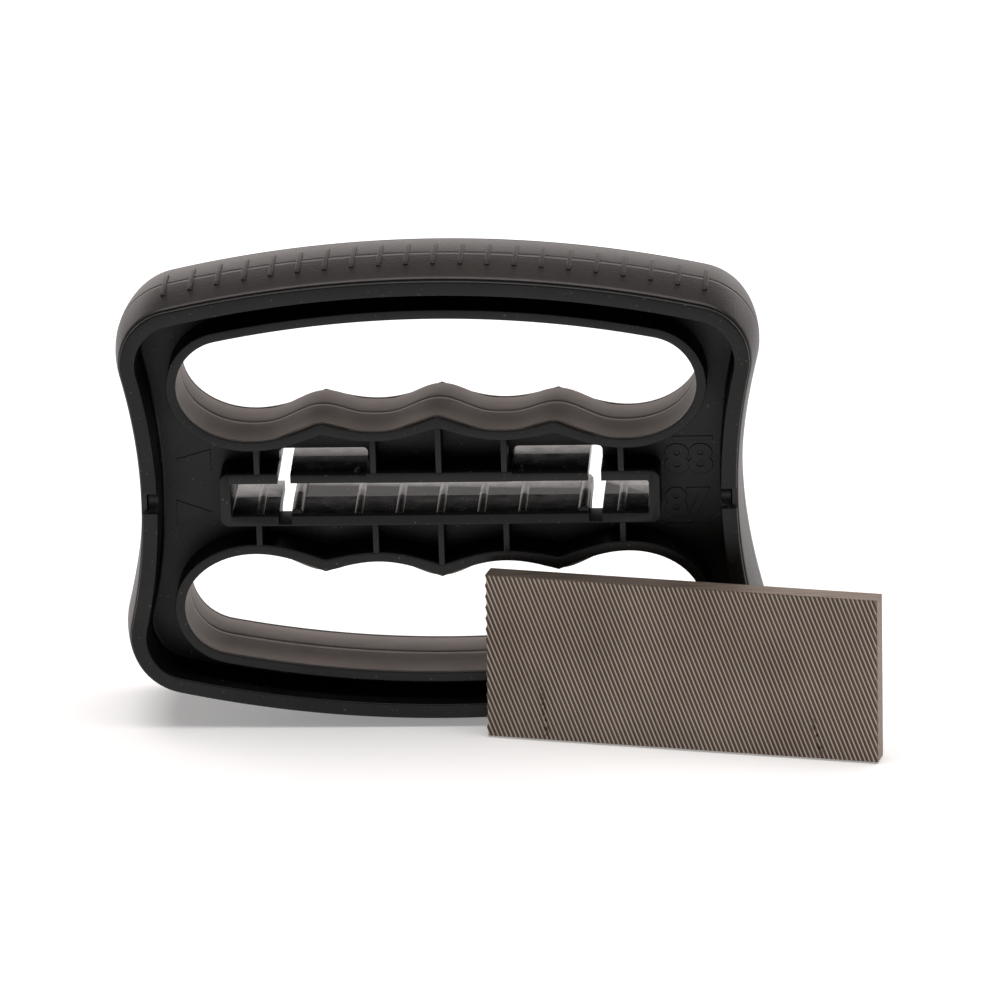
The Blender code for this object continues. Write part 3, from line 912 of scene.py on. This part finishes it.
for vertex in rib_pattern.data.vertices:
    vertex.co.z -= grip_rib_bend * bar_crown * band_fall(vertex.co.y / MM / grip_half_depth) * MM
smooth(rib_pattern, 60)

soft_ribs = []
for side in (1, -1):
    for number in range(grip_ribs):
        x = (number - (grip_ribs - 1) / 2) * grip_rib_pitch
        fall = long_side_radius - math.sqrt(long_side_radius**2 - x**2)
        select_only(rib_pattern)
        bpy.ops.object.duplicate()
        rib = bpy.context.active_object
        rib.location = on_guide(x, 0, side * (rib_crest - grip_rib_root / 2 - fall))
        lean = math.asin(x / long_side_radius)
        rib.rotation_euler = (0, lean if side > 0 else math.pi - lean, 0)
        bpy.ops.object.transform_apply(location=True, rotation=True, scale=True)
        soft_ribs.append(rib)
bpy.data.objects.remove(rib_pattern)
select_only(soft_ribs[0])
for rib in soft_ribs:
    rib.select_set(True)
bpy.ops.object.join()
soft_ribs = bpy.context.active_object
soft_ribs.name = "grip_ribs"

rubber, surface = new_material("mid_grey_tpe_overmould_textured")
place = add_node(rubber, "ShaderNodeTexCoord").outputs["Object"]
texture_per_metre = 1 / (0.6 * MM)
blotch_per_metre = 1 / (9 * MM)
texture = add_node(
    rubber, "ShaderNodeTexNoise", {"Vector": place, "Scale": texture_per_metre, "Detail": 4.0}
)
blotch = add_node(
    rubber, "ShaderNodeTexNoise", {"Vector": place, "Scale": blotch_per_metre, "Detail": 5.0}
)
mottle = add_node(
    rubber,
    "ShaderNodeMix",
    {"Factor": 0.35, "A": blotch.outputs["Fac"], "B": texture.outputs["Fac"]},
)
grey = add_node(rubber, "ShaderNodeValToRGB", {"Fac": mottle.outputs["Result"]})
grey.color_ramp.elements[0].position = 0.38
grey.color_ramp.elements[0].color = linear("#191412")
grey.color_ramp.elements[1].position = 0.62
grey.color_ramp.elements[1].color = linear("#221c19")
relief = add_node(
    rubber,
    "ShaderNodeBump",
    {"Height": texture.outputs["Fac"], "Strength": 0.8, "Distance": 0.09 * MM},
)
skin = add_node(
    rubber,
    "ShaderNodeBsdfPrincipled",
    {
        "Base Color": grey.outputs["Color"],
        "Roughness": 0.42,
        "Normal": relief.outputs["Normal"],
        "IOR": 1.52,
        "Specular IOR Level": 0.32,
    },
)
rubber.node_tree.links.new(skin.outputs[0], surface.inputs["Surface"])
for piece in (grip, soft_ribs):
    piece.data.materials.append(rubber)
    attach(piece, "guide")
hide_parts("outer_grip")


# ---- Finger linings -----------------------------------------------------------------------
# A smooth strip of lighter grey thermoplastic rubber lines each finger hole. It swells towards
# the fingers and shows the mould's parting line at mid-depth.

lining_half_depth = wall_half_depth - lip
lining_crown = 0.5
lining_outline = finger_hole(0, finger_wave, blunt)

lining_rubber, surface = new_material("light_grey_tpe_lining_smooth")
place = add_node(lining_rubber, "ShaderNodeTexCoord").outputs["Object"]
bloom_per_metre = 1 / (7 * MM)
fine_grain_per_metre = 1 / (0.4 * MM)
bloom = add_node(
    lining_rubber, "ShaderNodeTexNoise", {"Vector": place, "Scale": bloom_per_metre, "Detail": 5.0}
)
fine = add_node(
    lining_rubber,
    "ShaderNodeTexNoise",
    {"Vector": place, "Scale": fine_grain_per_metre, "Detail": 3.0},
)
grey = add_node(lining_rubber, "ShaderNodeValToRGB", {"Fac": bloom.outputs["Fac"]})
grey.color_ramp.elements[0].position = 0.35
grey.color_ramp.elements[0].color = linear("#756c67")
grey.color_ramp.elements[1].position = 0.68
grey.color_ramp.elements[1].color = linear("#80756f")
relief = add_node(
    lining_rubber,
    "ShaderNodeBump",
    {"Height": fine.outputs["Fac"], "Strength": 0.25, "Distance": 0.04 * MM},
)
skin = add_node(
    lining_rubber,
    "ShaderNodeBsdfPrincipled",
    {
        "Base Color": grey.outputs["Color"],
        "Roughness": 0.62,
        "Normal": relief.outputs["Normal"],
        "IOR": 1.5,
    },
)
lining_rubber.node_tree.links.new(skin.outputs[0], surface.inputs["Surface"])

places = [-1 + i / 8 for i in range(8)]
near_lining = [(lining_thickness, -1)] + [(-lining_crown * (1 - p * p), p) for p in places]
near_lining = [(out, p * lining_half_depth) for out, p in near_lining]
near_lining += [(-lining_crown, -parting_half_width)]
for name, turned in (("upper_lining", False), ("lower_lining", True)):
    hole = turned_over(lining_outline) if turned else lining_outline
    rings = [(y, offset(hole, out)) for out, y in near_lining]
    parting_line = [(0, offset(hole, -lining_crown + parting_depth))]
    rings += parting_line + [(-y, ring) for y, ring in reversed(rings)]
    lining = extruded(name, rings + rings[:1])
    smooth(lining, 50)
    lining.data.materials.append(lining_rubber)
    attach(lining, "guide")
    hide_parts("lower_finger_grip" if turned else "upper_finger_grip")


# ---- File ---------------------------------------------------------------------------------
# A short flat file of hardened steel. Single-cut teeth run across both faces at a slant, and
# the edges are plain. It stands on its long edge and leans back towards the guide.

file_length = 80.4
file_width = 34.0
file_thickness = 4.8
tooth_pitch = 0.92
tooth_profile = ((0, 0.24), (0.25, 0.24), (0.62, 0.0), (0.84, 0.0))
end_scallop_radius = 2.0
end_scallop_depth = 0.32
tooth_slant = math.radians(21.8)
file_turn = math.radians(-11)
file_lean = math.radians(4.4)
file_left = 9.2
file_stand_off = 0.8
file_bevel = 0.2
file_corner = on_guide(
    file_left, -half_depth - file_stand_off, -half_height - bar_crown - grip_rib_height
)


def tooth_sheet(name, face, side):
    """A saw-toothed slab that trims one face of the file, with its teeth at a slant."""
    slip_across = file_width * math.tan(tooth_slant)
    teeth = int((file_length + slip_across) / tooth_pitch) + 10
    bpy.ops.object.select_all(action="DESELECT")
    bpy.ops.mesh.primitive_grid_add(x_subdivisions=4 * teeth, y_subdivisions=1, size=1)
    sheet = bpy.context.active_object
    sheet.name = name
    for vertex in sheet.data.vertices:
        tooth, corner = divmod(round((vertex.co.x + 0.5) * 4 * teeth), 4)
        share, depth = tooth_profile[corner]
        height = file_width + 3 if vertex.co.y > 0 else -3
        along = (tooth + share - 4) * tooth_pitch - height * math.tan(tooth_slant)
        vertex.co = Vector((along, face - side * depth, height)) * MM
    bpy.ops.object.mode_set(mode="EDIT")
    bpy.ops.mesh.select_all(action="SELECT")
    bpy.ops.mesh.extrude_region_move(TRANSFORM_OT_translate={"value": (0, side * 2 * MM, 0)})
    bpy.ops.mesh.select_all(action="SELECT")
    bpy.ops.mesh.normals_make_consistent(inside=False)
    bpy.ops.object.mode_set(mode="OBJECT")
    return sheet


bpy.ops.object.select_all(action="DESELECT")
file_middle = Vector((file_length, -file_thickness, file_width)) * MM / 2
bpy.ops.mesh.primitive_cube_add(size=1, location=file_middle)
blade = bpy.context.active_object
blade.name = "file_with_teeth"
blade.scale = Vector((file_length, file_thickness, file_width)) * MM
bpy.ops.object.transform_apply(location=True, rotation=True, scale=True)
bpy.ops.object.mode_set(mode="EDIT")
bpy.ops.mesh.select_all(action="SELECT")
bpy.ops.mesh.bevel(offset=file_bevel * MM, segments=2)
bpy.ops.object.mode_set(mode="OBJECT")
cut_away(blade, [tooth_sheet("near_teeth", -file_thickness, -1), tooth_sheet("far_teeth", 0, 1)])
scallops = []
scallop_pitch = tooth_pitch / math.tan(tooth_slant)
for number in range(int(file_width / scallop_pitch) + 2):
    bpy.ops.mesh.primitive_cylinder_add(
        vertices=32, radius=end_scallop_radius * MM, depth=3 * file_thickness * MM
    )
    scallop = bpy.context.active_object
    scallop.rotation_euler = (math.radians(90), 0, 0)
    scallop_x = end_scallop_depth - end_scallop_radius
    scallop.location = Vector((scallop_x, -file_thickness / 2, (number + 0.3) * scallop_pitch)) * MM
    scallops.append(scallop)
cut_away(blade, scallops)
select_only(blade)
blade.rotation_euler = (-file_lean, 0, file_turn)
blade.location = file_corner
bpy.ops.object.transform_apply(location=True, rotation=True, scale=True)

steel, surface = new_material("hardened_file_steel_single_cut")
place = add_node(steel, "ShaderNodeTexCoord").outputs["Object"]
stance = Matrix.Rotation(file_turn, 3, "Z") @ Matrix.Rotation(-file_lean, 3, "X")
to_file = Matrix.LocRotScale(file_corner, stance, None)
on_file = add_node(
    steel,
    "ShaderNodeMapping",
    {"Vector": place, "Location": file_corner, "Rotation": to_file.to_euler(), "Scale": (1, 1, 1)},
    vector_type="TEXTURE",
)
own_axes = add_node(steel, "ShaderNodeSeparateXYZ", {"Vector": on_file.outputs["Vector"]})
tarnish_per_metre = 1 / (16 * MM)
tarnish = add_node(
    steel, "ShaderNodeTexNoise", {"Vector": place, "Scale": tarnish_per_metre, "Detail": 6.0}
)
gullet = add_node(steel, "ShaderNodeValToRGB", {"Fac": tarnish.outputs["Fac"]})
gullet.color_ramp.elements[0].position = 0.3
gullet.color_ramp.elements[0].color = linear("#6c5f56")
gullet.color_ramp.elements[1].position = 0.72
gullet.color_ramp.elements[1].color = linear("#7a6d63")
crest = add_node(steel, "ShaderNodeValToRGB", {"Fac": tarnish.outputs["Fac"]})
crest.color_ramp.elements[0].position = 0.3
crest.color_ramp.elements[0].color = linear("#ad9f94")
crest.color_ramp.elements[1].position = 0.72
crest.color_ramp.elements[1].color = linear("#bcafa4")
from_middle = add_node(
    steel, "ShaderNodeMath", {0: own_axes.outputs["Y"], 1: file_thickness / 2 * MM}, operation="ADD"
)
from_middle = add_node(steel, "ShaderNodeMath", {0: from_middle.outputs[0]}, operation="ABSOLUTE")
# Over the outermost 0.13 mm of each face, the tooth crests, the colour turns to the lighter crest
# colour and the roughness drops, which draws thin bright lines along the teeth.
crest_band = add_node(
    steel,
    "ShaderNodeMapRange",
    {
        "Value": from_middle.outputs[0],
        "From Min": (file_thickness / 2 - 0.13) * MM,
        "From Max": (file_thickness / 2 - 0.02) * MM,
        "To Min": 0.0,
        "To Max": 1.0,
    },
)
toothed = add_node(
    steel,
    "ShaderNodeMix",
    {"Factor": crest_band.outputs["Result"], 6: gullet.outputs["Color"], 7: crest.outputs["Color"]},
    data_type="RGBA",
)

# Black swarf packed between the teeth in two broken streaks, where the guide's stop ribs rub.
swarf_crumbs_per_metre = 1 / (0.8 * MM)
speckle = add_node(
    steel, "ShaderNodeTexNoise", {"Vector": place, "Scale": swarf_crumbs_per_metre, "Detail": 4.0}
)
streaks = []
for streak_x, streak_slope, streak_top in ((12.6, 0.12, 15.0), (69.0, 0.23, 12.0)):
    slid = add_node(
        steel, "ShaderNodeMath", {0: own_axes.outputs["Z"], 1: streak_slope}, operation="MULTIPLY"
    )
    slid = add_node(
        steel, "ShaderNodeMath", {0: own_axes.outputs["X"], 1: slid.outputs[0]}, operation="ADD"
    )
    aside = add_node(
        steel, "ShaderNodeMath", {0: slid.outputs[0], 1: streak_x * MM}, operation="SUBTRACT"
    )
    aside = add_node(steel, "ShaderNodeMath", {0: aside.outputs[0]}, operation="ABSOLUTE")
    across = add_node(
        steel,
        "ShaderNodeMapRange",
        {
            "Value": aside.outputs[0],
            "From Min": 0.1 * MM,
            "From Max": 0.8 * MM,
            "To Min": 1.0,
            "To Max": 0.0,
        },
    )
    upward = add_node(
        steel,
        "ShaderNodeMapRange",
        {
            "Value": own_axes.outputs["Z"],
            "From Min": 0.4 * streak_top * MM,
            "From Max": streak_top * MM,
            "To Min": 1.0,
            "To Max": 0.0,
        },
    )
    streak = {0: across.outputs["Result"], 1: upward.outputs["Result"]}
    streaks.append(add_node(steel, "ShaderNodeMath", streak, operation="MULTIPLY").outputs[0])
both = add_node(steel, "ShaderNodeMath", {0: streaks[0], 1: streaks[1]}, operation="MAXIMUM")
broken = add_node(
    steel,
    "ShaderNodeMapRange",
    {
        "Value": speckle.outputs["Fac"],
        "From Min": 0.44,
        "From Max": 0.56,
        "To Min": 0.0,
        "To Max": 0.85,
    },
)
swarf = add_node(
    steel, "ShaderNodeMath", {0: both.outputs[0], 1: broken.outputs["Result"]}, operation="MULTIPLY"
)
colour = add_node(
    steel,
    "ShaderNodeMix",
    {"Factor": swarf.outputs[0], 6: toothed.outputs[2], 7: linear("#1f1a17")},
    data_type="RGBA",
)
dullness = add_node(
    steel,
    "ShaderNodeMapRange",
    {"Value": crest_band.outputs["Result"], "To Min": 0.6, "To Max": 0.34},
)
skin = add_node(
    steel,
    "ShaderNodeBsdfPrincipled",
    {"Base Color": colour.outputs[2], "Metallic": 1.0, "Roughness": dullness.outputs["Result"]},
)
steel.node_tree.links.new(skin.outputs[0], surface.inputs["Surface"])

# The plain edges and ends were ground before the teeth were cut, with fine scratches along them,
# and have dulled to a brown grey.
ground, surface = new_material("hardened_file_steel_ground_edge")
place = add_node(ground, "ShaderNodeTexCoord").outputs["Object"]
along_edge = add_node(
    ground,
    "ShaderNodeMapping",
    {"Vector": place, "Rotation": (0, 0, -file_turn), "Scale": (0.05, 1.0, 1.0)},
)
scratches_per_metre = 1 / (0.4 * MM)
scratches = add_node(
    ground,
    "ShaderNodeTexNoise",
    {"Vector": along_edge.outputs["Vector"], "Scale": scratches_per_metre, "Detail": 3.0},
)
dull = add_node(ground, "ShaderNodeValToRGB", {"Fac": scratches.outputs["Fac"]})
dull.color_ramp.elements[0].position = 0.35
dull.color_ramp.elements[0].color = linear("#85786f")
dull.color_ramp.elements[1].position = 0.65
dull.color_ramp.elements[1].color = linear("#a09388")
furrow = add_node(
    ground,
    "ShaderNodeBump",
    {"Height": scratches.outputs["Fac"], "Strength": 0.4, "Distance": 0.03 * MM},
)
skin = add_node(
    ground,
    "ShaderNodeBsdfPrincipled",
    {
        "Base Color": dull.outputs["Color"],
        "Metallic": 1.0,
        "Roughness": 0.62,
        "Normal": furrow.outputs["Normal"],
    },
)
ground.node_tree.links.new(skin.outputs[0], surface.inputs["Surface"])
blade.data.materials.append(steel)
blade.data.materials.append(ground)
edge_band = 0.3
from_file = to_file.inverted()
for face in blade.data.polygons:
    middle = from_file @ face.center / MM
    own_normal = from_file.to_3x3() @ face.normal
    on_long_edge = middle.z > file_width - edge_band or middle.z < edge_band
    on_end = middle.x > file_length - edge_band or abs(own_normal.x) > 0.95
    face.material_index = 1 if on_long_edge or on_end else 0
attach(blade, "file")
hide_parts("file_blade")
